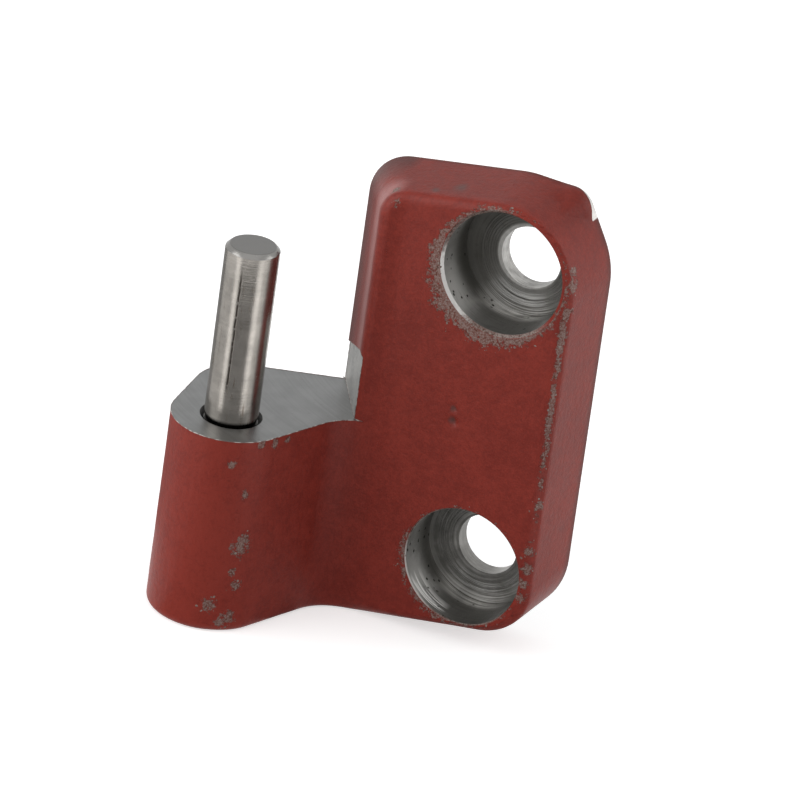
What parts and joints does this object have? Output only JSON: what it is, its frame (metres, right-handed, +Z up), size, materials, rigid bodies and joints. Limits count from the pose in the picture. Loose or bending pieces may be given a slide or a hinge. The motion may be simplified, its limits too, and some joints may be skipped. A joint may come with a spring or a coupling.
{
  "type": "pin half of a door hinge",
  "caption": "Cast door hinge half with a counterbored mounting plate, an S-shaped web, a knuckle with a milled seat and an upright lift-off pin.",
  "frame": {"origin": "on the pin's axis, level with the milled seat that the door's half turns on", "axes": "+Z up along the pin, +X from the pin towards the plate, +Y back towards the pillar"},
  "size_m": [0.0849, 0.047, 0.1077],
  "materials": {
    "red_paint": "satin brick red paint on a cast surface, bare where it is machined",
    "ground_steel": "ground"
  },
  "bodies": {
    "root": {"hinge_bracket": "red_paint", "hinge_pin": "ground_steel"}
  },
  "joints": []
}
